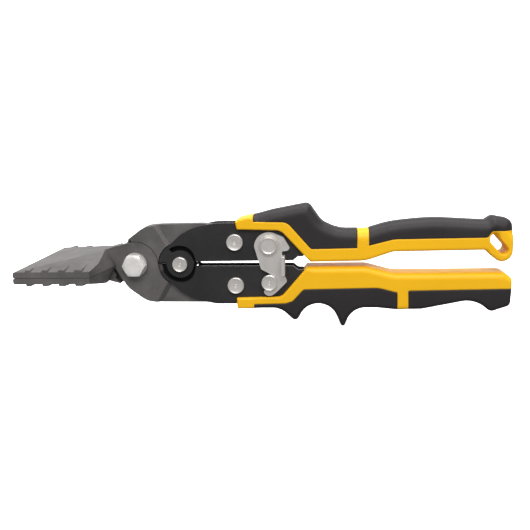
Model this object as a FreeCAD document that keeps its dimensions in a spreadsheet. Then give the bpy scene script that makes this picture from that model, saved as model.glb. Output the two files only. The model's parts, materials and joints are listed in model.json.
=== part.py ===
"""Hand seamer: wide flat folding jaws on latching compound-action handles.

The tool lies along X with its jaws at -X, Z is up and Y runs along the pivot pins.
Outlines are drawn in X and Z from the fulcrum pin, in millimetres, in the closed and latched pose.
"""
import FreeCAD, Part
import math
import os

import Sketcher
from FreeCAD import Vector

DIMENSIONS = [
    ("fulcrum_x", -49.0, "fulcrum pin from the frame's origin, along the tool"),
    ("fulcrum_z", 1.285, "fulcrum pin above the frame's origin"),
    ("jaw_pivot_x", -25.0, "jaw bolt from the fulcrum"),
    ("lever_pivot_x", 30.7, "jaw tail rivets from the fulcrum, along the tool"),
    ("lever_pivot_z", 12.0, "jaw tail rivets above and below the fulcrum"),
    ("latch_pivot_x", 49.4, "latch rivet from the fulcrum, along the tool"),
    ("latch_pivot_z", 10.4, "latch rivet above the fulcrum"),
    ("latch_pin_x", 49.4, "latch pin from the fulcrum, along the tool"),
    ("latch_pin_z", -10.1, "latch pin from the fulcrum, upwards"),
    ("jaw_half_width", 38.1, "half of the three inch jaw"),
    ("jaw_bite", -0.55, "parting plane of the jaws from the pins' plane, upwards"),
    ("jaw_gap", 0.1, "half of the gap left between the closed jaws"),
    ("jaw_edge", 3.2, "height of a jaw plate at its side edges"),
    ("jaw_heel", 9.0, "height of a jaw plate at its heel"),
    ("jaw_tip_x", -81.3, "front edge of the jaws"),
    ("rib_height", 1.0, "height of the ribs at the side edges of a jaw plate"),
    ("arm_face", 5.5, "half thickness of the jaw arms"),
    ("lap_gap", 0.1, "gap between the two halves of the lap joint"),
    ("lap_radius", 12.5, "round boss of the lap joint"),
    ("lap_recess", 12.8, "round recess that the other arm's boss turns in"),
    ("lap_sweep", 14.0, "reach of the lap's recess where the neck of the other jaw swings"),
    ("joggle", 2.1, "slope where the thick jaw arm ends beside the frame plates"),
    ("tail_face", 2.85, "half thickness of a jaw tail between the frame plates"),
    ("tail_eye", 8.5, "round end of a jaw tail"),
    ("tail_edge", 3.0, "inner edge of a jaw tail behind the fulcrum, from the centre line"),
    ("tail_front_edge", 0.4, "inner edge of a jaw tail before the fulcrum, from the centre line"),
    ("fulcrum_clear", 7.6, "radius that a jaw tail keeps from the fulcrum"),
    ("plate_in", 3.0, "inner face of the frame plates"),
    ("plate_out", 5.5, "outer face of the frame plates"),
    ("nose_radius", 11.8, "front end of the frame plates round the fulcrum"),
    ("nose_clear", 12.3, "radius that the thick jaw arms keep from the fulcrum"),
    ("hub_radius", 7.6, "round hub of a frame plate on the fulcrum pin"),
    ("hub_window", 10.3, "round window about the hub"),
    ("upper_gap_edge", 1.65, "lower edge of the upper frame plates"),
    ("lower_gap_edge", 1.5, "upper edge of the lower frame plates, downwards"),
    ("plate_edge", 22.5, "outer edge of the frame plates"),
    ("running_gap", 0.06, "radial clearance of a turning fit"),
    ("loop_gap", 0.1, "radial clearance of the jaw bolt in the lower jaw"),
    ("bolt_radius", 3.175, "quarter inch jaw bolt"),
    ("bolt_flats", 11.1, "across flats of the bolt head and nut"),
    ("bolt_head", 4.6, "height of the bolt head"),
    ("nut_height", 5.6, "height of the lock nut"),
    ("washer_radius", 6.7, "outer radius of the bolt washers"),
    ("washer_height", 1.4, "thickness of the bolt washers"),
    ("pin_radius", 3.0, "shank of the fulcrum pin and the tail rivets"),
    ("rivet_head", 4.5, "radius of the rivet heads"),
    ("rivet_height", 1.9, "height of the rivet heads"),
    ("fulcrum_head", 4.1, "radius of the fulcrum pin's heads"),
    ("bush_radius", 5.0, "outer radius of the fulcrum bush"),
    ("coil_radius", 6.4, "mean radius of the return spring"),
    ("coil_pitch", 1.45, "pitch of the return spring"),
    ("coil_turns", 2.745, "turns of the return spring"),
    ("wire_radius", 0.68, "radius of the spring wire"),
    ("leg_length", 8.4, "length of the spring's legs"),
    ("latch_back", 5.9, "rear face of the latch plate"),
    ("latch_front", 7.7, "front face of the latch plate"),
    ("latch_tab_front", 13.6, "front end of the latch's thumb tab"),
    ("latch_collar", 5.75, "radius of the latch rivet's collar"),
    ("latch_dome", 4.4, "radius of the latch rivet's dome"),
    ("latch_pin_shank", 2.6, "radius of the latch rivet and the latch pin in the plates"),
    ("latch_pin_neck", 1.25, "radius of the latch pin where the hook holds it"),
    ("grip_half", 8.0, "half thickness of the handles"),
    ("core_half", 6.5, "half thickness of the shell's core under a grip"),
    ("slot_radius", 2.35, "half width of the hang slot"),
]

FULCRUM = (0.0, 0.0)
THROUGH = 40.0

doc = FreeCAD.newDocument("hand_seamer")
sheet = doc.addObject("Spreadsheet::Sheet", "dims")
for row, (alias, value, note) in enumerate(DIMENSIONS, start=1):
    sheet.set(f"A{row}", note)
    sheet.set(f"B{row}", str(value))
    sheet.setAlias(f"B{row}", alias)
doc.recompute()

nodes = {}


def size(alias):
    """Value of one driving dimension."""
    return float(sheet.get(alias))


JAW_PIVOT = (size("jaw_pivot_x"), 0.0)


# ---------------------------------------------------------------- outlines

def arc(center, radius, start, end):
    """Round stretch of an outline about a centre, between two angles in degrees."""
    return ("arc", center, radius, start, end)


def on_circle(center, radius, angle):
    turn = math.radians(angle)
    return Vector(center[0] + radius * math.cos(turn), center[1] + radius * math.sin(turn), 0)


def flipped(items, up):
    """The outline as it is for an upper piece (up = 1) or mirrored for a lower one (up = -1)."""
    result = []
    for item in items:
        if item[0] == "arc":
            _, center, radius, start, end = item
            result.append(arc((center[0], up * center[1]), radius, up * start, up * end))
        else:
            result.append((item[0], up * item[1]) + tuple(item[2:]))
    return result


def stretches(items):
    """Each outline item as its points: one for a sharp corner, three for an arc."""
    count = len(items)
    fixed = []
    for item in items:
        if item[0] == "arc":
            _, center, radius, start, end = item
            angles = (start, (start + end) / 2, end)
            fixed.append([on_circle(center, radius, angle) for angle in angles])
        else:
            fixed.append([Vector(item[0], item[1], 0)])
    result = []
    for index, item in enumerate(items):
        points = fixed[index]
        rounding = item[2] if item[0] != "arc" and len(item) == 3 else 0
        if rounding:
            corner = points[0]
            back = (fixed[index - 1][-1] - corner).normalize()
            ahead = (fixed[(index + 1) % count][0] - corner).normalize()
            half = back.getAngle(ahead) / 2
            setback = rounding / math.tan(half)
            center = corner + (back + ahead).normalize() * (rounding / math.sin(half))
            middle = center + (corner - center).normalize() * rounding
            points = [corner + back * setback, middle, corner + ahead * setback]
        result.append(points)
    return result


def draw(sketch, items):
    """Draw a closed outline: points, rounded corners (x, z, radius) and arcs."""
    parts = stretches(items)
    for index, points in enumerate(parts):
        if len(points) == 3:
            sketch.addGeometry(Part.ArcOfCircle(*points), False)
        start = points[-1]
        end = parts[(index + 1) % len(parts)][0]
        if start.distanceToPoint(end) > 1e-6:
            sketch.addGeometry(Part.LineSegment(start, end), False)


def draw_circle(sketch, radius, x="0", z="0"):
    """A circle whose radius and centre are bound to the sheet."""
    circle = sketch.addGeometry(Part.Circle(Vector(1, 1, 0), Vector(0, 0, 1), 1), False)
    for kind, text in (("Radius", radius), ("DistanceX", x), ("DistanceY", z)):
        if kind == "Radius":
            rule = Sketcher.Constraint(kind, circle, 1.0)
        else:
            rule = Sketcher.Constraint(kind, -1, 1, circle, 3, 1.0)
        number = sketch.addConstraint(rule)
        sketch.setExpression(f"Constraints[{number}]", text)


# ---------------------------------------------------------------- features

def new_body(name, x="0", z="0"):
    """A body placed at the fulcrum, or at a point given from it."""
    body = doc.addObject("PartDesign::Body", name)
    body.Label = name
    body.setExpression("Placement.Base.x", f"dims.fulcrum_x + ({x})")
    body.setExpression("Placement.Base.z", f"dims.fulcrum_z + ({z})")
    return body


def new_sketch(body, role, offset):
    sketch = body.newObject("Sketcher::SketchObject", f"{body.Name}_sketch")
    plane = next(f for f in body.Origin.OriginFeatures if f.Role == role)
    sketch.AttachmentSupport = (plane, "")
    sketch.MapMode = "FlatFace"
    sketch.setExpression("AttachmentOffset.Base.z", offset)
    return sketch


def feature(kind, body, low, high, outlines=(), circles=(), role="XZ_Plane"):
    """Pad or Pocket between two levels. The XZ plane's normal points along -Y."""
    backwards = role == "XZ_Plane"
    adds = kind == "Pad"
    level = low if adds != backwards else high
    offset = f"-({level})" if backwards else f"{level}"
    sketch = new_sketch(body, role, offset)
    for items in outlines:
        draw(sketch, items)
    for circle in circles:
        draw_circle(sketch, *circle)
    before = body.Shape.Volume if body.Tip else 0.0
    result = body.newObject(f"PartDesign::{kind}", f"{body.Name}_{kind.lower()}")
    result.Profile = sketch
    result.setExpression("Length", f"({high}) - ({low})")
    body.Tip = result
    doc.recompute()
    change = body.Shape.Volume - before
    if (change > 0) != adds or abs(change) < 1e-3:
        raise RuntimeError(f"{result.Name} changed the volume by {change:.4f}")
    return result


def pad(body, low, high, **what):
    return feature("Pad", body, low, high, **what)


def pocket(body, low, high, **what):
    return feature("Pocket", body, low, high, **what)


def round_edges(body, radius, chosen):
    """Fillet the edges of the body's last feature that the test chooses."""
    base = body.Tip
    names = [f"Edge{n}" for n, edge in enumerate(base.Shape.Edges, start=1) if chosen(edge)]
    fillet = body.newObject("PartDesign::Fillet", f"{body.Name}_fillet")
    fillet.Base = (base, names)
    fillet.Radius = radius
    body.Tip = fillet
    doc.recompute()


def slope_edges(body, width, chosen):
    """Chamfer the edges of the body's last feature that the test chooses."""
    base = body.Tip
    names = [f"Edge{n}" for n, edge in enumerate(base.Shape.Edges, start=1) if chosen(edge)]
    chamfer = body.newObject("PartDesign::Chamfer", f"{body.Name}_chamfer")
    chamfer.Base = (base, names)
    chamfer.Size = width
    body.Tip = chamfer
    doc.recompute()


def round_rim(body, radius, level):
    """Round the circular edges that lie at one Y level."""
    def at_level(edge):
        box = edge.BoundBox
        return abs(box.YMin - level) < 1e-4 and abs(box.YMax - level) < 1e-4
    round_edges(body, radius, at_level)


def keep(name, shape_object):
    """Record the object that holds a finished sub-part."""
    shape_object.Label = name
    nodes[name] = shape_object
    return shape_object


def cut(name, base, tools):
    """A sub-part that is its blank less other pieces."""
    tool = tools[0]
    if len(tools) > 1:
        tool = doc.addObject("Part::MultiFuse", f"{name}_tools")
        tool.Shapes = tools
    result = doc.addObject("Part::Cut", name)
    result.Base = base
    result.Tool = tool
    return keep(name, result)


# ---------------------------------------------------------------- jaws

def jaw(name, up):
    """One jaw with its lap boss and tail. The upper jaw's tail is the lower one, and the reverse."""
    rise = up * size("jaw_bite")
    gap, edge, heel = (rise + size(f"jaw_{part}") for part in ("gap", "edge", "heel"))
    tip, width, rib_top = size("jaw_tip_x"), size("jaw_half_width"), size("rib_height")
    heel_x, root_x = -41.0, -36.0
    body = new_body(name)

    wedge = [(tip, gap, 0.7), (tip, edge, 1.5), (heel_x, heel), (root_x, gap)]
    pad(body, "-dims.jaw_half_width", "dims.jaw_half_width", outlines=[flipped(wedge, up)])

    slope = 0.2
    inner = 6.0
    above = 14.0
    facets = []
    for side in (-1, 1):
        outer = width + 1.0
        low = edge - slope * (outer - width)
        high = edge + slope * (width - inner)
        corners = [(side * outer, low), (side * inner, high), (side * inner, above),
                   (side * outer, above)]
        facets.append([(y, up * z) for y, z in corners])
    pocket(body, f"{tip - 1}", "0", outlines=facets, role="YZ_Plane")

    corners = []
    for side in (-1, 1):
        near = side * (width + 1.0)
        corners.append([(-40.9, near), (root_x, side * 5.5), (root_x + 1, side * 5.5), (root_x + 1, near)])
    pocket(body, f"{-THROUGH}", f"{THROUGH}", outlines=corners, role="XY_Plane")

    for index, reach in enumerate((6.3, 8.4, 9.7, 10.5)):
        middle = -73.1 + 8.87 * index
        half = 1.45 + 0.23 * index
        peak = slope * reach
        taper = 0.3 * peak
        rib = [(middle - half, edge - 1.5), (middle - half, edge), (middle - half + taper, edge + peak),
               (middle + half - taper, edge + peak), (middle + half, edge), (middle + half, edge - 1.5)]
        tops = []
        for side in (-1, 1):
            start, end = sorted((side * width, side * (width - reach)))
            pad(body, f"{start}", f"{end}", outlines=[flipped(rib, up)])
            line = [(side * (width + 1), edge + rib_top), (side * width, edge + rib_top),
                    (side * (width - reach), edge + peak), (side * (width - reach), edge + peak + 1),
                    (side * (width + 1), edge + peak + 1)]
            tops.append([(y, up * z) for y, z in line])
        pocket(body, f"{middle - half - 0.2}", f"{middle + half + 0.2}", outlines=tops, role="YZ_Plane")

    boss = size("lap_radius")
    nose = size("nose_clear")
    shoulder = (-11.7, -21.7)
    step_end = -116
    arm = [(-44.0, gap), (-37.6, gap), (-29.75, -13.3, 14), (-19.5, -20.8, 12), shoulder,
           arc(FULCRUM, nose, step_end, -178), arc(JAW_PIVOT, boss, -2, 96), (-36.5, 10.1, 6), (-44.0, 7.9)]
    pad(body, "-dims.arm_face", "dims.arm_face", outlines=[flipped(arm, up)])
    joggle_end = on_circle(FULCRUM, nose, step_end)

    def at_joggle(edge):
        box = edge.BoundBox
        ends = sorted((box.ZMin * up, box.ZMax * up))
        flat = abs(box.YMax - box.YMin) < 1e-6 and abs(abs(box.YMin) - size("arm_face")) < 1e-6
        along = abs(box.XMin - shoulder[0]) < 1e-3 and abs(box.XMax - joggle_end.x) < 1e-3
        return flat and along and abs(ends[0] - shoulder[1]) < 1e-3
    slope_edges(body, size("joggle"), at_joggle)

    edge_z, front_z, clear = size("tail_edge"), size("tail_front_edge"), size("fulcrum_clear")
    meet = math.degrees(math.asin(edge_z / clear))
    front_meet = math.degrees(math.asin(front_z / clear))
    eye = (size("lever_pivot_x"), -size("lever_pivot_z"))
    tail = [(-16.0, -21.3), (-11.0, -21.9), (13.0, -22.1, 12), arc(eye, size("tail_eye"), -112, 90),
            arc(FULCRUM, clear, -meet, front_meet - 180), (-12.3, -front_z), (-16.0, -8.0)]
    pad(body, "-dims.tail_face", "dims.tail_face", outlines=[flipped(tail, up)])

    half_lap = "dims.lap_gap / 2"
    layer = (f"-{half_lap}", "dims.arm_face") if up > 0 else ("-dims.arm_face", half_lap)
    pocket(body, *layer, circles=[("dims.lap_recess", "dims.jaw_pivot_x")])
    for side in (-1, 1):
        sector = [arc(JAW_PIVOT, size("lap_sweep"), side * 98, side * 150), JAW_PIVOT]
        pocket(body, *layer, outlines=[sector])
    bolt_gap = "0" if up > 0 else "dims.loop_gap"
    pocket(body, "-dims.arm_face", "dims.arm_face",
           circles=[(f"dims.bolt_radius + {bolt_gap}", "dims.jaw_pivot_x")])
    pocket(body, "-dims.arm_face", "dims.arm_face",
           circles=[("dims.pin_radius + dims.running_gap", "dims.lever_pivot_x",
                     f"{-up} * dims.lever_pivot_z")])
    return keep(name, body)


# ---------------------------------------------------------------- frame plates

def frame_plate(name, up, front):
    """One side plate of a handle. The upper front and the lower rear plate carry a fulcrum hub."""
    side = "upper" if up > 0 else "lower"
    hub = (up > 0) == front
    gap_edge, edge = size(f"{side}_gap_edge"), size("plate_edge")
    window, nose = size("hub_window"), size("nose_radius")
    meet = math.degrees(math.asin(gap_edge / window))
    notch = gap_edge + 2.2
    tang_low, tang_high, tang_end = 5.5, 13.0, 104.0

    outline = [(62.3, gap_edge)]
    if hub:
        outline += [arc(FULCRUM, window, meet, 125), arc(FULCRUM, size("hub_radius"), 125, -188),
                    arc(FULCRUM, nose, 172, 122)]
    else:
        outline += [arc(FULCRUM, window, meet, 160), arc(FULCRUM, nose, 160, 122)]
    outline += [(0.7, 16.4, 12), (7.0, 19.7, 14), (12.5, 21.2, 14), (20.0, edge, 10),
                (57.0, edge, 6), (72.0, tang_high),
                (tang_end, tang_high, 2), (tang_end, tang_low, 2), (69.5, tang_low),
                (67.8, notch), (65.1, notch)]
    body = new_body(name)
    low, high = ("-dims.plate_out", "-dims.plate_in") if front else ("dims.plate_in", "dims.plate_out")
    pad(body, low, high, outlines=[flipped(outline, up)])

    lever = ("dims.pin_radius", "dims.lever_pivot_x", f"{up} * dims.lever_pivot_z")
    latch_point = "pivot" if up > 0 else "pin"
    latch = ("dims.latch_pin_shank", f"dims.latch_{latch_point}_x", f"dims.latch_{latch_point}_z")
    holes = [lever, latch]
    if hub:
        gap = "dims.running_gap" if up > 0 else "0"
        holes.append((f"dims.pin_radius + {gap}",))
    pocket(body, low, high, circles=holes)
    return keep(name, body)


# ---------------------------------------------------------------- turned pieces

def stack(body, *levels):
    """Round pads along the pin: radius, low and high level of each."""
    for radius, low, high in levels:
        pad(body, low, high, circles=[(radius,)])


def fulcrum_pin():
    body = new_body("fulcrum_pin")
    face = "(dims.plate_out + dims.rivet_height)"
    stack(body, ("dims.pin_radius", "-dims.plate_out - 0.1", "dims.plate_out"),
          ("dims.fulcrum_head", f"-{face}", "-dims.plate_out - 0.1"),
          ("dims.fulcrum_head", "dims.plate_out", face))
    level = size("plate_out") + size("rivet_height")
    round_rim(body, 1.2, -level)
    round_rim(body, 1.2, level)
    keep("fulcrum_pin", body)

    bush = new_body("fulcrum_bush")
    pad(bush, "-dims.tail_face", "dims.plate_in", circles=[("dims.bush_radius",), ("dims.pin_radius",)])
    keep("fulcrum_bush", bush)


def tail_rivet(name, up):
    """Rivet through two frame plates with a jaw tail turning on it."""
    body = new_body(name, "dims.lever_pivot_x", f"{up} * dims.lever_pivot_z")
    face = "(dims.plate_out + dims.rivet_height)"
    stack(body, ("dims.pin_radius", "-dims.plate_out", "dims.plate_out"),
          ("dims.rivet_head", f"-{face}", "-dims.plate_out"),
          ("dims.rivet_head", "dims.plate_out", face))
    level = size("plate_out") + size("rivet_height")
    round_rim(body, 1.3, -level)
    round_rim(body, 1.3, level)
    keep(name, body)


def hexagon():
    """Corners of the bolt head and nut, with a flat at the bottom."""
    corner = size("bolt_flats") / math.sqrt(3)
    corners = [on_circle(FULCRUM, corner, 60 * n) for n in range(6)]
    return [(point.x, point.y) for point in corners]


def jaw_bolt():
    head_low = "-(dims.arm_face + dims.washer_height + dims.bolt_head)"
    head_high = "-(dims.arm_face + dims.washer_height)"
    nut_low = "dims.arm_face + dims.washer_height + dims.lap_gap"
    nut_high = f"{nut_low} + dims.nut_height"

    bolt = new_body("pivot_bolt", "dims.jaw_pivot_x")
    stack(bolt, ("dims.bolt_radius", head_high, f"{nut_high} + 1"))
    pad(bolt, head_low, head_high, outlines=[hexagon()])
    keep("pivot_bolt", bolt)

    nut = new_body("pivot_nut", "dims.jaw_pivot_x")
    pad(nut, nut_low, nut_high, outlines=[hexagon()], circles=[("dims.bolt_radius",)])
    keep("pivot_nut", nut)

    ring = [("dims.washer_radius",), ("dims.bolt_radius",)]
    for name, low, high in (("bolt_washer", head_high, "-dims.arm_face"),
                            ("nut_washer", "dims.arm_face + dims.lap_gap", nut_low)):
        washer = new_body(name, "dims.jaw_pivot_x")
        pad(washer, low, high, circles=ring)
        keep(name, washer)


# ---------------------------------------------------------------- return spring

def return_spring():
    """Torsion spring round the fulcrum bush, its two straight legs crossing in the gap."""
    radius, pitch, turns = size("coil_radius"), size("coil_pitch"), size("coil_turns")
    length = size("leg_length")
    height = pitch * turns
    helix = Part.makeHelix(pitch, height, radius)
    curve = helix.Edges[0]
    first, last = curve.valueAt(curve.FirstParameter), curve.valueAt(curve.LastParameter)
    leave = curve.tangentAt(curve.FirstParameter)
    arrive = curve.tangentAt(curve.LastParameter)
    start = first - leave * length
    end = last + arrive * length
    edges = [Part.LineSegment(start, first).toShape()] + list(helix.Edges)
    edges.append(Part.LineSegment(last, end).toShape())
    path = Part.Wire(edges)
    profile = Part.Wire([Part.makeCircle(size("wire_radius"), start, leave)])
    solid = path.makePipeShell([profile], True, False)
    spring = doc.addObject("Part::Feature", "return_spring")
    spring.Shape = solid
    axis_turn = FreeCAD.Rotation(Vector(1, 0, 0), 90)
    leg_turn = FreeCAD.Rotation(Vector(0, 1, 0), (size("coil_turns") + 1) * 180)
    place = FreeCAD.Placement(Vector(0, 0, 0), leg_turn * axis_turn)
    place.Base = place.Rotation.multVec(Vector(0, 0, -height / 2))
    place.Base += Vector(size("fulcrum_x"), 0, size("fulcrum_z"))
    spring.Placement = place
    keep("return_spring", spring)


# ---------------------------------------------------------------- latch

def latch():
    """Stamped latch that hangs on the upper frame and hooks under the lower frame's pin."""
    crown = (size("latch_pivot_x"), 9.5)
    outline = [arc(crown, 8.0, 178, 66), (57.4, 14.8, 3), (60.9, 8.7, 1.2), (59.4, 7.4, 1), (56.5, 7.0),
               (56.5, -6.5), (58.2, -7.1, 1.2), (59.1, -9.7, 1.5), (53.2, -15.6, 3),
               (50.6, -17.5, 1), (49.2, -17.6, 0.4), (49.9, -14.4), (51.2, -13.2, 0.8),
               (51.2, -8.9, 1), (52.6, -7.3), (51.0, -6.0), (44.9, -2.7, 2)]
    body = new_body("latch")
    pad(body, "-dims.latch_front", "-dims.latch_back", outlines=[outline])
    tab = [(56.2, -5.6), (56.2, 4.9), (58.2, 4.9), (58.2, -5.6)]
    pad(body, "-dims.latch_tab_front", "-dims.latch_back", outlines=[tab])
    pocket(body, "-dims.latch_front", "-dims.latch_back",
           circles=[("dims.latch_pin_shank + dims.running_gap", "dims.latch_pivot_x",
                     "dims.latch_pivot_z")])
    keep("latch", body)

    washer = new_body("latch_washer", "dims.latch_pivot_x", "dims.latch_pivot_z")
    pad(washer, "-dims.latch_back + 0.05", "-dims.plate_out",
        circles=[("dims.latch_collar",), ("dims.latch_pin_shank",)])
    keep("latch_washer", washer)

    rivet = new_body("latch_rivet", "dims.latch_pivot_x", "dims.latch_pivot_z")
    back = "(dims.plate_out + dims.rivet_height)"
    stack(rivet, ("dims.latch_pin_shank", "-dims.latch_front - 0.05", "dims.plate_out"),
          ("dims.latch_collar", "-dims.latch_front - 0.55", "-dims.latch_front - 0.05"),
          ("dims.latch_dome", "-dims.latch_front - 2.2", "-dims.latch_front - 0.55"),
          ("dims.rivet_head", "dims.plate_out", back))
    round_rim(rivet, 1.3, -size("latch_front") - 2.2)
    round_rim(rivet, 1.3, size("plate_out") + size("rivet_height"))
    keep("latch_rivet", rivet)

    pin = new_body("latch_pin", "dims.latch_pin_x", "dims.latch_pin_z")
    stack(pin, ("dims.latch_pin_shank", "-dims.plate_out", "dims.plate_out"),
          ("dims.latch_pin_neck", "-dims.latch_front - 0.2", "-dims.plate_out"),
          ("dims.rivet_head", "-dims.latch_front - 2.0", "-dims.latch_front - 0.2"),
          ("dims.rivet_head", "dims.plate_out", back))
    round_rim(pin, 1.2, -size("latch_front") - 2.0)
    round_rim(pin, 1.3, size("plate_out") + size("rivet_height"))
    keep("latch_pin", pin)


# ---------------------------------------------------------------- handles

def handle_blank(name, outline, cores, up):
    """Moulded shell before the frame plates are set in it, with cores that carry the grips."""
    body = new_body(name)
    pad(body, "-dims.grip_half", "dims.grip_half", outlines=[outline])
    for core in cores:
        pad(body, "-dims.core_half", "dims.core_half", outlines=[core])
    mouth = [(30.0, 0.0), (30.0, size("plate_edge")), (53.0, size("plate_edge")), (53.0, 0.0)]
    pocket(body, "-dims.plate_out", "dims.plate_out", outlines=[flipped(mouth, up)])
    return body


def grip(name, outline, *inside):
    """Moulded grip: its outline less the core and the plates that it covers."""
    body = new_body(f"{name}_blank")
    pad(body, "-dims.grip_half", "dims.grip_half", outlines=[outline])
    cut(name, body, list(inside))


def upper_handle():
    shell = [(32.2, 19.2, 0.6), (31.2, 23.4, 0.8), (33.3, 24.7, 2), (41.0, 26.5), (41.2, 23.3),
             (59.4, 22.8, 6), (72.2, 8.1, 2), (96.9, 8.45), (97.2, 18.1), (103.2, 18.4), (103.3, 9.7),
             (116.5, 13.0, 14), (165.4, 13.4, 2), (168.0, 16.7, 1.5), (179.2, 17.0),
             arc((173.4, 5.94), 5.54, -2, -134), (164.7, 6.7, 2), (116.2, 6.2, 10), (101.5, 1.3, 20),
             (71.8, 0.95, 1), (57.0, 17.3, 3), (54.6, 18.5, 3)]
    thumb_core = [(44.0, 22.0), (66.0, 27.0, 3), (70.5, 25.5, 3), (74.5, 18.0, 6), (84.0, 14.2, 6),
                  (97.0, 13.6), (97.0, 7.0), (68.0, 7.0), (58.0, 19.0)]
    palm_core = [(103.0, 8.0), (103.0, 14.6), (117.0, 17.6, 20), (143.0, 19.2, 30), (164.0, 17.2, 6),
                 (169.0, 19.6, 3), (176.0, 17.0), (177.0, 12.0), (150.0, 10.0), (117.0, 9.0)]
    blank = handle_blank("upper_shell_blank", shell, [thumb_core, palm_core], 1)
    slot = doc.addObject("PartDesign::Body", "hang_slot")
    slot.setExpression("Placement.Base.x", "dims.fulcrum_x")
    slot.setExpression("Placement.Base.z", "dims.fulcrum_z")
    ends = ((169.1, 12.1), (173.9, 6.7))
    lean = math.degrees(math.atan2(ends[1][1] - ends[0][1], ends[1][0] - ends[0][0]))
    half = size("slot_radius")
    stadium = [arc(ends[1], half, lean - 90, lean + 90), arc(ends[0], half, lean + 90, lean + 270)]
    pad(slot, "-dims.grip_half - 1", "dims.grip_half + 1", outlines=[stadium])
    cut("upper_handle_shell", blank, [nodes["upper_frame_front"], nodes["upper_frame_rear"], slot])

    thumb = [(41.2, 23.3), (41.0, 26.5), (51.4, 29.2, 30), (71.2, 32.82, 3.9), (78.2, 22.6, 10),
             (87.0, 18.4, 22), (97.2, 18.4), (96.9, 8.45), (72.2, 8.1, 2), (59.4, 22.8, 6)]
    grip("thumb_grip", thumb, blank)
    palm = [(103.3, 9.7), (103.2, 18.6), (114.2, 21.9, 60), (135.5, 24.0, 120), (164.9, 22.1, 3),
            (168.4, 24.6, 3.5), (178.4, 22.6, 4.5), (179.2, 17.0), (168.0, 16.7, 1.5), (165.4, 13.4, 2),
            (116.5, 13.0, 14)]
    grip("palm_grip", palm, blank)


def lower_handle():
    shell = [(31.1, -18.9, 0.6), (31.3, -24.8, 0.8), (40.5, -24.9), (40.8, -22.4), (58.0, -22.0, 6),
             (61.8, -20.8, 4), (67.9, -14.2, 2), (108.4, -13.5, 12), (118.6, -16.2), (118.7, -26.0),
             (124.6, -25.8), (124.4, -15.2, 0.6), (179.3, -14.4), (179.2, -8.9, 2.5), (175.0, -5.8, 5),
             (137.0, -6.0), (116.2, -5.9, 12), (102.0, -2.0, 14), (70.0, -2.0, 1), (56.8, -17.3, 3),
             (54.6, -18.5, 3)]
    finger_core = [(44.0, -21.5), (55.0, -23.2, 4), (62.5, -28.0, 2), (69.0, -21.6, 5),
                   (82.5, -20.8, 5), (88.9, -29.8, 1.2), (95.0, -23.6, 5), (107.0, -21.8),
                   (119.0, -22.6), (119.0, -12.0), (66.0, -10.0), (58.0, -18.0)]
    rear_core = [(124.0, -10.0), (124.0, -23.2), (144.0, -20.4, 20), (162.0, -18.8, 6),
                 (170.0, -23.4, 3), (176.6, -19.0, 2), (177.0, -11.0)]
    blank = handle_blank("lower_shell_blank", shell, [finger_core, rear_core], -1)
    plates = [nodes["lower_frame_front"], nodes["lower_frame_rear"]]
    cut("lower_handle_shell", blank, plates)

    finger = [(40.8, -22.4), (40.5, -24.9), (55.0, -24.8, 11), (63.65, -32.9, 2.4), (77.0, -8.6, 10.9),
              (89.3, -37.0, 1.3), (94.4, -24.8, 11), (107.5, -24.8, 20), (118.7, -26.0), (118.6, -16.2),
              (108.4, -13.5, 12), (67.9, -14.2, 2), (61.8, -20.8, 4), (58.0, -22.0, 6)]
    grip("finger_grip", finger, blank, *plates)
    rear = [(124.4, -15.2, 0.6), (124.6, -25.8), (131.8, -25.7, 12), (159.8, -20.2, 15), (168.5, -27.4, 3.8),
            (178.8, -23.8, 3.2), (179.3, -14.4)]
    grip("lower_rear_grip", rear, blank)


# ---------------------------------------------------------------- assembly

jaw("upper_jaw", 1)
jaw("lower_jaw", -1)
frame_plate("upper_frame_front", 1, True)
frame_plate("upper_frame_rear", 1, False)
frame_plate("lower_frame_front", -1, True)
frame_plate("lower_frame_rear", -1, False)
fulcrum_pin()
tail_rivet("upper_tail_rivet", 1)
tail_rivet("lower_tail_rivet", -1)
jaw_bolt()
return_spring()
latch()
upper_handle()
lower_handle()

doc.recompute()
for item in doc.Objects:
    if "Invalid" in item.State or "Error" in item.State:
        raise RuntimeError(f"{item.Name} failed: {item.State}")

os.makedirs("parts", exist_ok=True)
whole = FreeCAD.BoundBox()
for name, item in nodes.items():
    shape = item.Shape
    if shape.isNull() or not shape.isValid() or len(shape.Solids) != 1:
        raise RuntimeError(f"{name}: {len(shape.Solids)} solids, valid {shape.isValid()}")
    whole.add(shape.BoundBox)
    shape.exportStep(f"parts/{name}.step")
    print(f"{name:22s} {shape.Volume:10.1f} mm3")
print(f"{len(nodes)} nodes, box {whole}")
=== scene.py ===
"""Hand seamer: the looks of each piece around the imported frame, with its studio and camera.

Lengths are in millimetres and angles in degrees, except where MM or math.radians has turned them.
"""

import bmesh
import bpy
import json
import math
import numpy as np
from mathutils import Matrix, Vector
from mathutils.geometry import delaunay_2d_cdt

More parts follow.
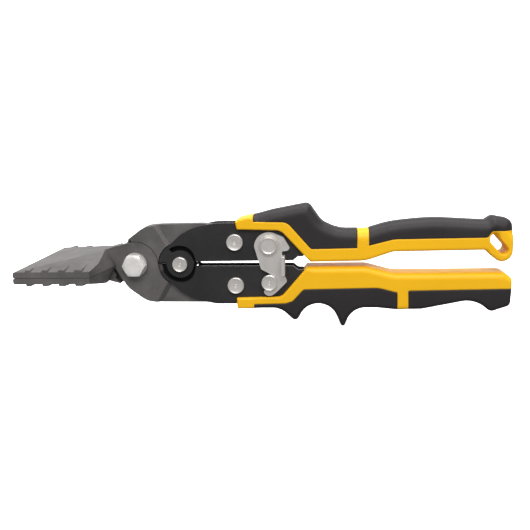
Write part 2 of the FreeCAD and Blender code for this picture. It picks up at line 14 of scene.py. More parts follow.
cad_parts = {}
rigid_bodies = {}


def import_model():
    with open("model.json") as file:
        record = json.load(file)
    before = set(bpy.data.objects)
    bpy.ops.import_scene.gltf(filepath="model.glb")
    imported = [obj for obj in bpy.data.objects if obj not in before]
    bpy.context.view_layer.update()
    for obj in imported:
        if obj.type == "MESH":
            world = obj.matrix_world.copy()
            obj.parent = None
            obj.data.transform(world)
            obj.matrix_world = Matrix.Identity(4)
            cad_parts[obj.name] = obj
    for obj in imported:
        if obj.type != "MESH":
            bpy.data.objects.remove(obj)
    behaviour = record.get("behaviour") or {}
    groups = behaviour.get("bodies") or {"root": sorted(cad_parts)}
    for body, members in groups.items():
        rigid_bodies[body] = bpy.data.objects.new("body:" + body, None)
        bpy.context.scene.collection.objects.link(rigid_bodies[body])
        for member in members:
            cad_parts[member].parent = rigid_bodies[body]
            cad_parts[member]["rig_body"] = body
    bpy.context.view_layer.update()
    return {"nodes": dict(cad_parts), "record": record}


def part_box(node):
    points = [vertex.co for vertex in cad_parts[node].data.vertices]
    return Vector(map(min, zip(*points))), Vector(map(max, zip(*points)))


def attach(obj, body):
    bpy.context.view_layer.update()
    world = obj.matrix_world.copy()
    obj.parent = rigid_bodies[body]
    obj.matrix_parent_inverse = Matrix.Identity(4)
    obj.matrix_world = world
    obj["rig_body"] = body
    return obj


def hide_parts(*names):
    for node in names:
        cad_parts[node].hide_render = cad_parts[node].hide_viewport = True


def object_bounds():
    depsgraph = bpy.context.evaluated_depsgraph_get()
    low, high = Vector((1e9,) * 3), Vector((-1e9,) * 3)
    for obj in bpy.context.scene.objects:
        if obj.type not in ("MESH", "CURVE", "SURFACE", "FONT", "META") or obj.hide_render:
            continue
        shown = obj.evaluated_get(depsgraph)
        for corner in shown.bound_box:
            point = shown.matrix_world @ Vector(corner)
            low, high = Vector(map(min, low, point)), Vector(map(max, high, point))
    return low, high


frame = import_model()
nodes = frame["nodes"]
MM = 0.001
JOIN = 0.001
TOUCHING = 0.05
FLAT_ANGLE = 0.4
SHARP_ANGLE = 32.0
MOULDED_ANGLE = 50.0


def middle(node):
    """Centre of a CAD node in millimetres."""
    low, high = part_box(node)
    return (low + high) / 2 / MM


FULCRUM = middle("fulcrum_pin")
BOLT = middle("pivot_bolt")
FLOOR_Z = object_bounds()[0][2] - 0.2 * MM


# ---------------------------------------------------------------- materials

class Recipe:
    """A Principled material with helpers for procedural inputs."""

    def __init__(self, name, **constants):
        self.material = bpy.data.materials.new(name)
        self.material.use_nodes = True
        self.tree = self.material.node_tree
        self.shader = self.tree.nodes["Principled BSDF"]
        for socket, value in constants.items():
            self.shader.inputs[socket.replace("_", " ")].default_value = value

    def add(self, kind, **values):
        node = self.tree.nodes.new(kind)
        for key, value in values.items():
            if key in node.inputs:
                node.inputs[key].default_value = value
            else:
                setattr(node, key, value)
        return node

    def link(self, source, target):
        self.tree.links.new(source, target)

    def coordinates(self, scale=(1, 1, 1)):
        place = self.add("ShaderNodeTexCoord")
        mapping = self.add("ShaderNodeMapping")
        mapping.inputs["Scale"].default_value = scale
        self.link(place.outputs["Object"], mapping.inputs["Vector"])
        return mapping.outputs["Vector"]

    def noise(self, scale, detail, rough=0.55, vector=None, distortion=0.0):
        node = self.add("ShaderNodeTexNoise", Scale=scale, Detail=detail, Roughness=rough,
                        Distortion=distortion)
        self.link(vector or self.coordinates(), node.inputs["Vector"])
        return node.outputs["Fac"]

    def ramp(self, value, stops):
        node = self.add("ShaderNodeValToRGB")
        ramp = node.color_ramp
        ramp.elements[0].position, ramp.elements[0].color = stops[0][0], (*stops[0][1], 1)
        ramp.elements[1].position, ramp.elements[1].color = stops[-1][0], (*stops[-1][1], 1)
        for position, color in stops[1:-1]:
            ramp.elements.new(position).color = (*color, 1)
        self.link(value, node.inputs["Fac"])
        return node.outputs["Color"]

    def span(self, value, low, high):
        """Maps 0..1 to a range."""
        node = self.add("ShaderNodeMapRange")
        node.inputs["To Min"].default_value = low
        node.inputs["To Max"].default_value = high
        self.link(value, node.inputs["Value"])
        return node.outputs["Result"]

    def near_fulcrum(self, inner, outer):
        """1 within the inner radius about the fulcrum's axis, and 0 beyond the outer one."""
        place = self.add("ShaderNodeTexCoord")
        shift = self.add("ShaderNodeVectorMath", operation="SUBTRACT")
        shift.inputs[1].default_value = FULCRUM * MM
        self.link(place.outputs["Object"], shift.inputs[0])
        flat = self.add("ShaderNodeVectorMath", operation="MULTIPLY")
        flat.inputs[1].default_value = (1, 0, 1)
        self.link(shift.outputs["Vector"], flat.inputs[0])
        length = self.add("ShaderNodeVectorMath", operation="LENGTH")
        self.link(flat.outputs["Vector"], length.inputs[0])
        node = self.add("ShaderNodeMapRange")
        for socket, value in (("From Min", inner * MM), ("From Max", outer * MM),
                              ("To Min", 1.0), ("To Max", 0.0)):
            node.inputs[socket].default_value = value
        self.link(length.outputs["Value"], node.inputs["Value"])
        return node.outputs["Result"]

    def bump(self, *layers):
        """Stacks bumps: (height output, depth in millimetres)."""
        before = None
        for height, depth in layers:
            node = self.add("ShaderNodeBump", Strength=1.0, Distance=depth * MM)
            self.link(height, node.inputs["Height"])
            if before:
                self.link(before, node.inputs["Normal"])
            before = node.outputs["Normal"]
        self.link(before, self.shader.inputs["Normal"])

    def color(self, output):
        self.link(output, self.shader.inputs["Base Color"])

    def roughness(self, output):
        self.link(output, self.shader.inputs["Roughness"])


def yellow_plastic():
    """Moulded plastic with a fine grain."""
    recipe = Recipe("yellow_plastic", Specular_IOR_Level=0.25)
    broad = recipe.noise(22, 3)
    recipe.color(recipe.ramp(broad, [(0.3, (0.84, 0.450, 0.006)), (0.7, (0.90, 0.485, 0.008))]))
    fine = recipe.noise(2600, 2)
    recipe.roughness(recipe.span(recipe.noise(160, 4), 0.34, 0.5))
    recipe.bump((fine, 0.012), (recipe.noise(140, 2), 0.03))
    return recipe.material


def black_rubber():
    """Matt grip rubber with a fine grain and a little sheen."""
    recipe = Recipe("black_rubber", Specular_IOR_Level=0.3, Sheen_Weight=0.06, Sheen_Roughness=0.4)
    broad = recipe.noise(30, 4)
    recipe.color(recipe.ramp(broad, [(0.3, (0.0165, 0.0140, 0.0150)),
                                     (0.7, (0.0235, 0.0200, 0.0212))]))
    recipe.roughness(recipe.span(recipe.noise(260, 5), 0.46, 0.62))
    recipe.bump((recipe.noise(1900, 3, 0.7), 0.025), (recipe.noise(120, 2), 0.05))
    return recipe.material


# Radius of the window in the frame plates about the fulcrum.
WINDOW = 10.3
# Near-black colour of the painted shade on the jaws inside the window round the fulcrum.
WINDOW_SHADE = (0.006, 0.006, 0.006)


def forged_steel():
    """Grey forging, with painted shade: near black round the fulcrum, where the window in the
    frame plates shows it.
    """
    recipe = Recipe("forged_steel", Metallic=0.75, Specular_IOR_Level=0.5)
    patch = recipe.noise(55, 6, 0.62, distortion=0.3)
    steel = recipe.ramp(patch, [(0.25, (0.112, 0.105, 0.104)), (0.5, (0.168, 0.157, 0.155)),
                                (0.8, (0.240, 0.222, 0.216))])
    # Painted shade: inside the window's radius round the fulcrum the jaw colour turns near black,
    # standing in for the shade between the plates.
    mix = recipe.add("ShaderNodeMix", data_type="RGBA")
    recipe.link(recipe.near_fulcrum(WINDOW - 0.1, WINDOW + 0.9), mix.inputs["Factor"])
    recipe.link(steel, mix.inputs["A"])
    mix.inputs["B"].default_value = (*WINDOW_SHADE, 1)
    recipe.color(mix.outputs["Result"])
    recipe.roughness(recipe.span(recipe.noise(300, 5, 0.7), 0.42, 0.68))
    recipe.bump((recipe.noise(900, 4, 0.7), 0.03), (recipe.noise(130, 3), 0.12))
    return recipe.material


def plate_steel():
    """Blackened sheet with a grain along the tool."""
    recipe = Recipe("plate_steel", Metallic=0.3, Specular_IOR_Level=0.3)
    patch = recipe.noise(40, 5, 0.6)
    recipe.color(recipe.ramp(patch, [(0.3, (0.022, 0.021, 0.022)), (0.75, (0.040, 0.038, 0.039))]))
    grain = recipe.noise(500, 3, 0.6, vector=recipe.coordinates((1, 1, 0.06)))
    recipe.roughness(recipe.span(grain, 0.36, 0.55))
    recipe.bump((grain, 0.01))
    return recipe.material


def plated_steel(name, dark, light, rough, metallic=1.0):
    """Plated piece with turning marks and slightly uneven plate."""
    recipe = Recipe(name, Metallic=metallic)
    patch = recipe.noise(150, 5, 0.65)
    recipe.color(recipe.ramp(patch, [(0.3, dark), (0.7, light)]))
    recipe.roughness(recipe.span(recipe.noise(700, 4, 0.7), rough - 0.08, rough + 0.1))
    recipe.bump((recipe.noise(1500, 3), 0.012), (recipe.noise(260, 2), 0.03))
    return recipe.material


YELLOW = yellow_plastic()
RUBBER = black_rubber()
FORGED = forged_steel()
PLATE = plate_steel()
NICKEL = plated_steel("nickel_plate", (0.66, 0.630, 0.604), (0.76, 0.730, 0.700), 0.36, 0.75)
ZINC = plated_steel("zinc_plate", (0.78, 0.755, 0.740), (0.88, 0.855, 0.835), 0.30, 0.35)
DULL = plated_steel("dull_zinc_plate", (0.36, 0.345, 0.335), (0.46, 0.440, 0.430), 0.45, 0.6)
SPRING = plated_steel("spring_wire", (0.05, 0.048, 0.046), (0.08, 0.075, 0.072), 0.4)

FINISH = {
    "forged_steel": FORGED, "plate_steel": PLATE, "nickel_steel": NICKEL, "zinc_steel": ZINC,
    "spring_steel": SPRING, "yellow_plastic": YELLOW, "black_rubber": RUBBER,
}
SLOT_OF = {row["node"]: row["material_slot"] for row in frame["record"]["subparts"]}
BODY_OF = {node: obj["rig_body"] for node, obj in nodes.items()}


# ---------------------------------------------------------------- mesh helpers

def shade(bm, angle=SHARP_ANGLE):
    """Smooth faces, with sharp edges where the surface turns by more than the angle."""
    limit = math.radians(angle)
    for face in bm.faces:
        face.smooth = True
    for edge in bm.edges:
        edge.smooth = len(edge.link_faces) == 2 and edge.calc_face_angle(0.0) < limit


def placed(name, bm):
    """Turns a bmesh in metres into an object of the scene."""
    mesh = bpy.data.meshes.new(name)
    bm.to_mesh(mesh)
    bm.free()
    obj = bpy.data.objects.new(name, mesh)
    bpy.context.scene.collection.objects.link(obj)
    return obj


def publish(name, bm, node, angle=SHARP_ANGLE):
    """Turns a bmesh into the piece that stands for a CAD node."""
    bmesh.ops.recalc_face_normals(bm, faces=bm.faces)
    shade(bm, angle)
    obj = placed(name, bm)
    obj.data.materials.append(FINISH[SLOT_OF[node]])
    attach(obj, BODY_OF[node])
    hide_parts(node)
    return obj


def applied(obj, kind, **settings):
    """Puts the result of a modifier into the object's mesh."""
    modifier = obj.modifiers.new("change", kind)
    for key, value in settings.items():
        setattr(modifier, key, value)
    bpy.context.view_layer.update()
    evaluated = obj.evaluated_get(bpy.context.evaluated_depsgraph_get())
    result = bpy.data.meshes.new_from_object(evaluated)
    obj.modifiers.remove(modifier)
    obj.data = result


def combined(obj, operation, name, bm):
    """Adds the closed shape in a bmesh to an object, or cuts it away."""
    tool = placed(name, bm)
    applied(obj, "BOOLEAN", operation=operation, solver="EXACT", object=tool)
    bpy.data.objects.remove(tool)


def even_normals(obj):
    """Keeps large flat faces flat where they meet narrow rounded edges."""
    applied(obj, "WEIGHTED_NORMAL", keep_sharp=True, weight=80)


def joined(bm):
    """Joins a mesh's vertices and makes its flat faces whole."""
    bmesh.ops.remove_doubles(bm, verts=bm.verts, dist=JOIN * MM)
    bmesh.ops.dissolve_limit(bm, angle_limit=math.radians(FLAT_ANGLE), verts=bm.verts,
                             edges=bm.edges)
    return bm


def sharp_edges(bm):
    """Edges where the surface turns by more than SHARP_ANGLE."""
    limit = math.radians(SHARP_ANGLE)
    return [e for e in bm.edges if len(e.link_faces) == 2 and e.calc_face_angle(0.0) > limit]


def rounded(bm, edges, width):
    """Bevels edges to a small radius."""
    bmesh.ops.bevel(bm, geom=edges, offset=width * MM, segments=2, profile=0.5, affect="EDGES",
                    clamp_overlap=True)


def cad_copy(node):
    """A CAD node's mesh with its vertices joined and its flat faces whole."""
    bm = bmesh.new()
    bm.from_mesh(nodes[node].data)
    return joined(bm)


# How far the window's rear end moves in, and the angle to each side where that runs out.
DRAW_IN = 1.6
DRAW_IN_REACH = 75


def draw_in_window(bm):
    """Brings the rear end of the window in a frame plate closer to the fulcrum's hub."""
    for vert in bm.verts:
        x, z = vert.co.x / MM - FULCRUM.x, vert.co.z / MM - FULCRUM.z
        radius, turn = math.hypot(x, z), math.degrees(math.atan2(z, x))
        if abs(radius - WINDOW) < TOUCHING and abs(turn) < DRAW_IN_REACH:
            share = 1 - DRAW_IN * math.cos(math.radians(turn * 90 / DRAW_IN_REACH)) ** 2 / radius
            vert.co.x = (FULCRUM.x + x * share) * MM
            vert.co.z = (FULCRUM.z + z * share) * MM


def softened(node, width, change=None):
    """The CAD shape with its sharp edges broken."""
    bm = cad_copy(node)
    if change:
        change(bm)
    rounded(bm, sharp_edges(bm), width)
    obj = publish(f"{node}_finished", bm, node)
    even_normals(obj)
    return obj


def lathe(bm, profile, centre, steps=72):
    """Revolves (radius, y) about an axis along Y through the centre, in millimetres."""
    rings = []
    for radius, level in profile:
        if radius == 0:
            rings.append([bm.verts.new(Vector((centre.x, level, centre.z)) * MM)])
            continue
        ring = []
        for step in range(steps):
            turn = math.tau * step / steps
            point = (centre.x + radius * math.cos(turn), level, centre.z + radius * math.sin(turn))
            ring.append(bm.verts.new(Vector(point) * MM))
        rings.append(ring)
    for one, two in zip(rings, rings[1:]):
        for step in range(steps):
            after = (step + 1) % steps
            corners = [one[step % len(one)], one[after % len(one)], two[after % len(two)],
                       two[step % len(two)]]
            unique = list(dict.fromkeys(corners))
            if len(unique) > 2:
                bm.faces.new(unique)


def turned(node, profile):
    """Round piece about its CAD node's axis."""
    bm = bmesh.new()
    lathe(bm, profile, middle(node))
    publish(f"{node}_finished", bm, node)


# ---------------------------------------------------------------- moulded handles

# Half of the handles' thickness, and the reach over which two edge radii run into each other.
HALF = 8.0
BLEND = 1.5
SEAM_HALF = 0.4
SEAM_DEPTH = 0.3
# The rows of mesh points inside an outline: their distances from it, how much of that distance
# a point keeps from the rest of the outline, and the spacing in a row, which grows inwards.
ROW_CLEAR = 0.93
ROW_SPACING = 0.3
ROW_GROWTH = 0.28
GRID = 2.2
GRID_CLEAR = 1.0
OFFSETS = (0.05, 0.2, 0.44, 0.75, 1.1, 1.5, 2.1, 2.8, 3.5, 4.3, 5.2, 6.2)


def front_loops(node):
    """Closed outlines of a CAD node's flat front face, as arrays of (x, z) in millimetres."""
    bm = bmesh.new()
    bm.from_mesh(nodes[node].data)
    bmesh.ops.remove_doubles(bm, verts=bm.verts, dist=JOIN * MM)
    low = min(v.co.y for v in bm.verts)
    front = {f for f in bm.faces if all(abs(v.co.y - low) < JOIN * MM for v in f.verts)}
    rim = [e for e in bm.edges if len([f for f in e.link_faces if f in front]) == 1]
    after = {}
    for edge in rim:
        for one, two in (edge.verts, reversed(edge.verts)):
            after.setdefault(one, []).append(two)
    loops, seen = [], set()
    for start in after:
        if start in seen:
            continue
        loop, last, here = [], None, start
        while here not in seen:
            seen.add(here)
            loop.append((here.co.x / MM, here.co.z / MM))
            ahead = [v for v in after[here] if v is not last and v not in seen]
            if not ahead:
                break
            last, here = here, ahead[0]
        loops.append(np.array(loop))
    bm.free()
    return loops


def resampled(loop, step=0.8):
    """The loop with its long sides divided."""
    points = []
    for one, two in zip(loop, np.roll(loop, -1, axis=0)):
        count = max(1, math.ceil(np.linalg.norm(two - one) / step))
        points.extend(one + (two - one) * k / count for k in range(count))
    return np.array(points)


def distances(points, starts, ends):
    """Distance of each point to each segment."""
    result = np.empty((len(points), len(starts)))
    along = ends - starts
    length = np.maximum((along ** 2).sum(1), 1e-12)
    for index in range(0, len(points), 500):
        chunk = points[index:index + 500, None, :] - starts[None, :, :]
        share = np.clip((chunk * along).sum(2) / length, 0, 1)
        gap = chunk - share[..., None] * along
        result[index:index + 500] = np.sqrt((gap ** 2).sum(2))
    return result


def inside(points, loops):
    """Even-odd test of points against closed loops."""
    count = np.zeros(len(points), int)
    for loop in loops:
        ahead = np.roll(loop, -1, axis=0)
        for (x1, z1), (x2, z2) in zip(loop, ahead):
            if z1 == z2:
                continue
            crosses = (points[:, 1] < z1) != (points[:, 1] < z2)
            at = x1 + (points[:, 1] - z1) * (x2 - x1) / (z2 - z1)
            count += crosses & (points[:, 0] < at)
    return count % 2 == 1


class Handle:
    """The moulded pieces of one handle, rounded as one surface with fine seams between them."""

    def __init__(self, names, radius_at, rear_limit=10.0):
        self.loops = {name: [resampled(loop) for loop in front_loops(name)] for name in names}
        segments = {}
        for name, loops in self.loops.items():
            starts = np.concatenate(loops)
            ends = np.concatenate([np.roll(loop, -1, axis=0) for loop in loops])
            segments[name] = (starts, ends)
        free, seam = [], []
        for name, (starts, ends) in segments.items():
            others = [segments[other] for other in names if other != name]
            near = distances((starts + ends) / 2, np.concatenate([o[0] for o in others]),
                             np.concatenate([o[1] for o in others])).min(1)
            touching = near < TOUCHING
            free.append((starts[~touching], ends[~touching]))
            seam.append((starts[touching], ends[touching]))
        self.free = [np.concatenate([f[k] for f in free]) for k in (0, 1)]
        self.seam = [np.concatenate([s[k] for s in seam]) for k in (0, 1)]
        centres = (self.free[0] + self.free[1]) / 2 - np.array([FULCRUM.x, FULCRUM.z])
        front = np.array([radius_at(x, z) for x, z in centres])
        self.radius = {-1: front, 1: np.minimum(front, rear_limit)}

    def half_thickness(self, points, side):
        """Level of the rounded surface at points of the outline's plane, with its seams."""
        gaps = distances(points, *self.free)
        nearest = gaps.min(1)
        weight = np.exp(-(gaps ** 2 - nearest[:, None] ** 2) / BLEND ** 2)
        radius = (weight * self.radius[side]).sum(1) / weight.sum(1)
        depth = np.clip(nearest, 0, radius)
        level = HALF - radius + np.sqrt(np.maximum(radius ** 2 - (radius - depth) ** 2, 0))
        groove = np.clip(1 - distances(points, *self.seam).min(1) / SEAM_HALF, 0, 1)
        return level - SEAM_DEPTH * groove ** 2

    def build(self, name):
        """One piece: fine rows along its outline, a grid inside and walls between two sides."""
        loops = self.loops[name]
        starts = np.concatenate(loops)
        ends = np.concatenate([np.roll(loop, -1, axis=0) for loop in loops])
        rows = [starts]
        along = ends - starts
        across = np.stack([-along[:, 1], along[:, 0]], 1)
        across /= np.maximum(np.linalg.norm(across, axis=1), 1e-9)[:, None]
        centres = (starts + ends) / 2
        for offset in OFFSETS:
            for side in (-1, 1):
                row = centres + side * offset * across
                row = row[inside(row, loops)]
                gap = distances(row, starts, ends).min(1)
                row = row[gap > ROW_CLEAR * offset]
                rows.append(self.thinned(row, ROW_SPACING + ROW_GROWTH * offset))
        low, high = starts.min(0), starts.max(0)
        grid = np.stack(np.meshgrid(np.arange(low[0], high[0], GRID),
                                    np.arange(low[1], high[1], GRID)), -1).reshape(-1, 2)
        grid = grid[inside(grid, loops)]
        gap = distances(grid, starts, ends).min(1)
        rows.append(grid[gap > OFFSETS[-1] + GRID_CLEAR])
        points = np.concatenate(rows)
        edges, first = [], 0
        for loop in loops:
            edges += [(first + k, first + (k + 1) % len(loop)) for k in range(len(loop))]
            first += len(loop)
        found = delaunay_2d_cdt([Vector(p) for p in points], edges, [], 0, 1e-5)
        flat = np.array([tuple(p) for p in found[0]])
        faces = np.array(found[2])
        centre = flat[faces].mean(1)
        faces = faces[inside(centre, loops)]
        bm = bmesh.new()
        sides = []
        for sign in (-1, 1):
            level = self.half_thickness(flat, sign)
            verts = [bm.verts.new((x * MM, sign * y * MM, z * MM))
                     for (x, z), y in zip(flat, level)]
            for face in faces:
                order = face if sign < 0 else face[::-1]
                bm.faces.new([verts[k] for k in order])
            sides.append(verts)
        lookup = {}
        for k, sources in enumerate(found[3]):
            for source in sources:
                lookup[source] = k
        for one, two in edges:
            a, b = lookup[one], lookup[two]
            bm.faces.new([sides[0][a], sides[0][b], sides[1][b], sides[1][a]])
        bmesh.ops.delete(bm, geom=[v for v in bm.verts if not v.link_faces], context="VERTS")
        return publish(f"{name}_moulded", bm, name, MOULDED_ANGLE)

    @staticmethod
    def thinned(points, spacing):
        """Drops points that are closer together than the spacing."""
        kept, cells = [], {}
        for point in points:
            key = (int(point[0] // spacing), int(point[1] // spacing))
            close = False
            for i in (-1, 0, 1):
                for j in (-1, 0, 1):
                    for other in cells.get((key[0] + i, key[1] + j), ()):
                        if (other[0] - point[0]) ** 2 + (other[1] - point[1]) ** 2 < spacing ** 2:
                            close = True
            if not close:
                cells.setdefault(key, []).append(point)
                kept.append(point)
        return np.array(kept).reshape(-1, 2)


def upper_radius(x, z):
    """Edge radius of the upper handle at a place from the fulcrum."""
    if x < 60 and z < 22.9:     # front end, beside the plates
        return 0.7
    if x < 41.1:                # lip above the front end
        return 1.2
    if x < 71 and z < 18:       # step behind the plates
        return 0.8
    if z > 14 and x < 180:      # backs of the two grips
        return 5.6
    if 166 < x < 177 and 3.5 < z < 15.5:   # hang slot
        return 0.7
    return 1.6


def lower_radius(x, z):
    """Edge radius of the lower handle at a place from the fulcrum."""
    if x < 40.5 and z < -18:    # lip at the front end
        return 1.0
    if x < 70 and z > -19.5:    # front end, beside the plates
        return 0.8
    if z > -14 and x < 179:     # edge that faces the other handle
        return 3.0
    return 2.2


# Start and end of a shell's mouth behind the fulcrum.
MOUTH = (29, 53)


def open_mouth(obj, side):
    """Cuts the room for the jaw tail and the frame plates into a shell's front end."""
    plates = "upper" if side > 0 else "lower"
    low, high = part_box(f"{plates}_frame_front")
    edge = high.z if side > 0 else low.z
    x0, x1 = ((FULCRUM.x + x) * MM for x in MOUTH)
    z0, z1 = sorted((FULCRUM.z * MM, edge))
    size = Vector((x1 - x0, -2 * low.y, z1 - z0))
    centre = Vector(((x0 + x1) / 2, 0, (z0 + z1) / 2))
    bm = bmesh.new()
    bmesh.ops.create_cube(bm, size=1.0)
    bmesh.ops.transform(bm, matrix=Matrix.Translation(centre) @ Matrix.Diagonal((*size, 1)),
                        verts=bm.verts)
    combined(obj, "DIFFERENCE", "mouth", bm)


upper = Handle(["upper_handle_shell", "thumb_grip", "palm_grip"], upper_radius)
lower = Handle(["lower_handle_shell", "finger_grip", "lower_rear_grip"], lower_radius,
               rear_limit=0.6)
for handle, side in ((upper, 1), (lower, -1)):
    for name in handle.loops:
        piece = handle.build(name)
        if name.endswith("shell"):
            open_mouth(piece, side)


# ---------------------------------------------------------------- steel pieces

# Distance of the latch plate's face from the tool's middle plane, and the widths of broken edges.
LATCH_FRONT = 7.7
LATCH_EDGE = 0.22
TAB_EDGE = 0.45
JAW_EDGE = 0.45
PLATE_EDGE = 0.5
WASHER_EDGE = 0.18
# Outline of the hook's lip from the fulcrum.
LIP = [(51.5, -16.6), (50.6, -17.35), (49.6, -17.6), (48.6, -17.58), (47.7, -17.3),
       (46.95, -16.75), (46.45, -16.0), (46.3, -15.2), (46.45, -14.65), (46.9, -14.4),
       (48.5, -14.5), (49.9, -14.2), (50.8, -13.7), (51.5, -14.5)]


def finished_latch():
    """The latch with the full lip of its hook, which the CAD shape keeps short."""
    latch = publish("latch_finished", cad_copy("latch"), "latch")
    front = -LATCH_FRONT * MM
    back = max(v.co.y for v in latch.data.vertices)
    bm = bmesh.new()
    rows = []
    for y in (front, back):
        rows.append([bm.verts.new(((FULCRUM.x + x) * MM, y, (FULCRUM.z + z) * MM))
                     for x, z in LIP])
    bm.faces.new(rows[0])
    bm.faces.new(rows[1][::-1])
    for k in range(len(LIP)):
        after = (k + 1) % len(LIP)
        bm.faces.new([rows[0][k], rows[0][after], rows[1][after], rows[1][k]])
    bmesh.ops.recalc_face_normals(bm, faces=bm.faces)
    combined(latch, "UNION", "lip", bm)
    bm = bmesh.new()
    bm.from_mesh(latch.data)
    edges = sharp_edges(joined(bm))
    for of_tab, width in ((True, TAB_EDGE), (False, LATCH_EDGE)):
        chosen = [e for e in edges if e.is_valid
                  and (min(v.co.y for v in e.verts) < front - 0.1 * MM) == of_tab]
        rounded(bm, chosen, width)
    bmesh.ops.recalc_face_normals(bm, faces=bm.faces)
    shade(bm)
    bm.to_mesh(latch.data)
    bm.free()
    even_normals(latch)


softened("upper_jaw", JAW_EDGE)
softened("lower_jaw", JAW_EDGE)
for plate in ("upper_frame_front", "upper_frame_rear", "lower_frame_front", "lower_frame_rear"):
    softened(plate, PLATE_EDGE, change=draw_in_window)
finished_latch()
for plain in ("bolt_washer", "nut_washer", "latch_washer"):
    softened(plain, WASHER_EDGE).data.materials[0] = DULL
for inner in ("return_spring", "fulcrum_bush"):
    nodes[inner].data.materials.clear()
    nodes[inner].data.materials.append(FINISH[SLOT_OF[inner]])

# Distance of the frame plates' faces from the middle plane, and the rivets' radii and heights.
FACE = -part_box("upper_frame_front")[0].y / MM
RIVET_SHANK = 3.0
REAR_HEAD = 4.3
LATCH_SHANK = 2.6
PIN_NECK = 1.25
PIN_HEAD = 1.8


def head(face, radius, height):
    """Profile of a formed rivet head from its middle to the plate: a dish inside its rim."""
    top = face + height
    return [(0, top - 0.52), (0.45, top - 0.51), (0.6, top - 0.6), (0.85, top - 0.5),
            (radius * 0.5, top - 0.42), (radius * 0.75, top - 0.28), (radius * 0.88, top - 0.08),
            (radius * 0.93, top), (radius * 0.975, top - 0.1), (radius, top - 0.35),
            (radius, face)]


def frontward(profile):
    """A profile given by its distance in front of the tool's middle plane."""
    return [(radius, -level) for radius, level in profile]


def rivet(node, height):
    """Rivet through both frame plates with equal heads."""
    low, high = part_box(node)
    formed = head(FACE, (high.x - low.x) / 2 / MM, height)
    front = formed + [(RIVET_SHANK, FACE)]
    turned(node, frontward(front) + front[::-1])


def latch_rivet():
    """Rivet of the latch: a dished head in a raised ring, on a collar with a groove."""
    low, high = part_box("latch_rivet")
    out, back = -low.y / MM, high.y / MM
    collar, seat = (high.x - low.x) / 2 / MM, LATCH_FRONT + TOUCHING
    front = [(0, out - 0.66), (0.7, out - 0.64), (2.0, out - 0.62), (3.4, out - 0.62),
             (3.85, out - 0.6), (4.0, out - 0.5), (4.1, out - 0.1), (4.25, out), (4.5, out - 0.06),
             (4.72, out - 0.4), (4.82, out - 1.1), (4.95, out - 1.38), (5.25, out - 1.4),
             (5.42, out - 1.25), (5.62, out - 1.3), (collar, out - 1.5), (collar, seat),
             (LATCH_SHANK, seat)]
    rear = [(LATCH_SHANK, FACE)] + head(FACE, REAR_HEAD, back - FACE)[::-1]
    turned("latch_rivet", frontward(front) + rear)


def latch_pin():
    """Pin that the hook holds by its neck."""
    low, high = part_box("latch_pin")
    under, back = -low.y / MM - PIN_HEAD, high.y / MM
    front = head(under, REAR_HEAD, PIN_HEAD)
    front += [(PIN_NECK, under), (PIN_NECK, FACE), (LATCH_SHANK, FACE)]
    rear = [(LATCH_SHANK, FACE)] + head(FACE, REAR_HEAD, back - FACE)[::-1]
    turned("latch_pin", frontward(front) + rear)


# CROWN is the round flat's share of a hexagon's width, and CHAMFER the slope outside it.
HEX_STEPS = 96
CROWN = 0.955
CHAMFER = math.tan(math.radians(30))


def hexagonal(bm, centre, outer, inner, flats, chamfer_both=False):
    """Hexagon between two levels, flat below, with its corners turned down to a cone."""
    crown = flats / 2 * CROWN
    out = 1 if outer > inner else -1
    sixth = math.pi / 3
    turns = [math.tau * step / HEX_STEPS for step in range(HEX_STEPS)]
    rim = [flats / 2 / math.cos((turn - sixth) % sixth - sixth / 2) for turn in turns]
    shelf = [min(radius * 0.91, crown) for radius in rim]
    core, waist = ([crown * share] * HEX_STEPS for share in (0.3, 0.7))

    def ring(radii, level, chamfer):
        row = []
        for turn, radius in zip(turns, radii):
            drop = chamfer * max(0.0, radius - crown) * CHAMFER
            point = (centre.x + radius * math.cos(turn), level - drop,
                     centre.z + radius * math.sin(turn))
            row.append(bm.verts.new(Vector(point) * MM))
        return row

    rings = [ring(radii, outer, out) for radii in (core, waist, shelf, rim)]
    rings += [ring(radii, inner, -out if chamfer_both else 0) for radii in (rim, shelf, core)]
    bm.faces.new(rings[0])
    for one, two in zip(rings, rings[1:]):
        for step in range(HEX_STEPS):
            after = (step + 1) % HEX_STEPS
            bm.faces.new([one[step], one[after], two[after], two[step]])
    bm.faces.new(rings[-1][::-1])


MARKS = 6
MARK_TURN = 20
MARK_RADII = (2.2, 3.9)
MARK_WIDTH = 0.42
MARK_HEIGHT = 0.14
MARK_INSET = 0.08


def bar(bm, centre, turn, low, high):
    """Small raised bar on a bolt head, from one radius to another."""
    near, far = MARK_RADII
    out = Vector((math.cos(turn), 0, math.sin(turn)))
    side = Vector((-math.sin(turn), 0, math.cos(turn)))
    base = Vector((centre.x, 0, centre.z))
    corners = []
    for level, inset in ((low, 0.0), (high, MARK_INSET)):
        for radius, edge in ((near + inset, -1), (far - inset, -1), (far - inset, 1),
                             (near + inset, 1)):
            point = base + out * radius + side * edge * (MARK_WIDTH / 2 - inset)
            corners.append(bm.verts.new(Vector((point.x, level, point.z)) * MM))
    bm.faces.new(corners[4:])
    bm.faces.new(corners[:4][::-1])
    for k in range(4):
        bm.faces.new([corners[k], corners[(k + 1) % 4], corners[4 + (k + 1) % 4], corners[4 + k]])


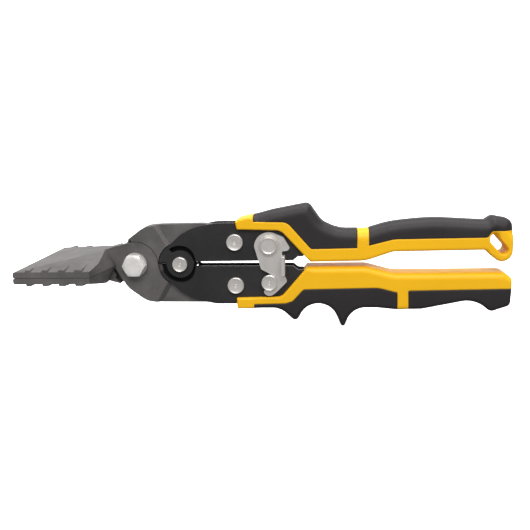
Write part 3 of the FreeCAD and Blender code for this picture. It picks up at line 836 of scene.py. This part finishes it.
def jaw_bolt():
    """Bolt with grade marks on its head, and its nut."""
    low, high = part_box("pivot_bolt")
    flats, face, tip = (high.z - low.z) / MM, low.y / MM, high.y / MM
    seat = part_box("bolt_washer")[0].y / MM
    bm = bmesh.new()
    hexagonal(bm, BOLT, face, seat, flats)
    for mark in range(MARKS):
        turn = math.radians(360 / MARKS * mark + MARK_TURN)
        bar(bm, BOLT, turn, face + TOUCHING, face - MARK_HEIGHT)
    shank = [(0, seat - 0.5), (3.17, seat - 0.5), (3.17, tip - 0.5), (2.7, tip), (0, tip)]
    lathe(bm, shank, BOLT, 48)
    publish("pivot_bolt_finished", bm, "pivot_bolt")
    low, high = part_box("pivot_nut")
    bm = bmesh.new()
    hexagonal(bm, BOLT, high.y / MM, low.y / MM, flats, chamfer_both=True)
    publish("pivot_nut_finished", bm, "pivot_nut")


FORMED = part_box("fulcrum_pin")[1].y / MM - FACE
for node in ("fulcrum_pin", "upper_tail_rivet", "lower_tail_rivet"):
    rivet(node, FORMED)
latch_rivet()
latch_pin()
jaw_bolt()


# ---------------------------------------------------------------- studio and camera

FLOOR_BOUNCE = (0.25, 0.25, 0.25)
FLOOR_RADIUS = 40.0
WHITE = (1, 1, 1, 1)
SEEN_STRENGTH = 1.15
LIGHT_STRENGTH = 0.36


def studio_floor():
    """White to the camera with faint shadows, and dimmer in the light that it throws back."""
    recipe = Recipe("studio_floor", Roughness=0.9, Specular_IOR_Level=0.0, Emission_Strength=0.95)
    recipe.shader.inputs["Emission Color"].default_value = WHITE
    pale = [(0.3, (0.90, 0.90, 0.90)), (0.7, (0.92, 0.92, 0.92))]
    recipe.color(recipe.ramp(recipe.noise(1.5, 2), pale))
    dim = recipe.add("ShaderNodeBsdfDiffuse")
    dim.inputs["Color"].default_value = (*FLOOR_BOUNCE, 1)
    path = recipe.add("ShaderNodeLightPath")
    mix = recipe.add("ShaderNodeMixShader")
    recipe.link(path.outputs["Is Camera Ray"], mix.inputs["Fac"])
    recipe.link(dim.outputs["BSDF"], mix.inputs[1])
    recipe.link(recipe.shader.outputs["BSDF"], mix.inputs[2])
    output = recipe.tree.nodes["Material Output"]
    recipe.link(mix.outputs["Shader"], output.inputs["Surface"])
    return recipe.material


bm = bmesh.new()
bmesh.ops.create_circle(bm, cap_ends=True, radius=FLOOR_RADIUS, segments=64)
floor = placed("floor", bm)
floor.location.z = FLOOR_Z
floor.data.materials.append(studio_floor())


def studio_world():
    """White behind the object, and softer in the light that it gives."""
    world = bpy.data.worlds.new("studio")
    world.use_nodes = True
    tree = world.node_tree
    tree.nodes.clear()
    out = tree.nodes.new("ShaderNodeOutputWorld")
    mix = tree.nodes.new("ShaderNodeMixShader")
    path = tree.nodes.new("ShaderNodeLightPath")
    tree.links.new(path.outputs["Is Camera Ray"], mix.inputs["Fac"])
    for socket, strength in ((1, LIGHT_STRENGTH), (2, SEEN_STRENGTH)):
        sky = tree.nodes.new("ShaderNodeBackground")
        sky.inputs["Color"].default_value = WHITE
        sky.inputs["Strength"].default_value = strength
        tree.links.new(sky.outputs[0], mix.inputs[socket])
    tree.links.new(mix.outputs[0], out.inputs["Surface"])
    return world


bpy.context.scene.world = studio_world()


LIGHT_TARGET = Vector((0, 0, 0))


def softbox(name, place, size, power):
    """Soft rectangular light that points at the object."""
    data = bpy.data.lights.new(name, "AREA")
    data.shape = "RECTANGLE"
    data.size, data.size_y = size
    data.energy = power
    obj = bpy.data.objects.new(name, data)
    bpy.context.scene.collection.objects.link(obj)
    place = Vector(place)
    aim = (LIGHT_TARGET - place).to_track_quat("-Z", "Y").to_matrix().to_4x4()
    obj.matrix_world = Matrix.Translation(place) @ aim


softbox("top_light", (0.0, 0.12, 0.95), (1.3, 0.8), 13)
softbox("back_panel", (0.0, 1.6, 0.3), (3.0, 0.5), 6.5)
softbox("front_light", (0.15, -1.1, 1.05), (1.2, 0.7), 20)

CAMERA_FROM_FULCRUM = Vector((77.55, -391.26, 75.26))
YAW, PITCH, ROLL = (math.radians(angle) for angle in (4.531, 11.120, 1.3))
LENS = 48.97
forward = Vector((-math.sin(YAW) * math.cos(PITCH), math.cos(YAW) * math.cos(PITCH),
                  -math.sin(PITCH)))
right = Vector((math.cos(YAW), math.sin(YAW), 0))
up = right.cross(forward)
rolled_right = right * math.cos(ROLL) - up * math.sin(ROLL)
rolled_up = right * math.sin(ROLL) + up * math.cos(ROLL)
camera_data = bpy.data.cameras.new("camera")
camera_data.sensor_width = 36.0
camera_data.lens = LENS
camera_data.clip_start = 0.01
camera_data.clip_end = 200.0
camera = bpy.data.objects.new("camera", camera_data)
bpy.context.scene.collection.objects.link(camera)
axes = Matrix((rolled_right, rolled_up, -forward)).transposed()
camera.matrix_world = Matrix.Translation((FULCRUM + CAMERA_FROM_FULCRUM) * MM) @ axes.to_4x4()
bpy.context.scene.camera = camera
bpy.context.scene.view_settings.view_transform = "Standard"
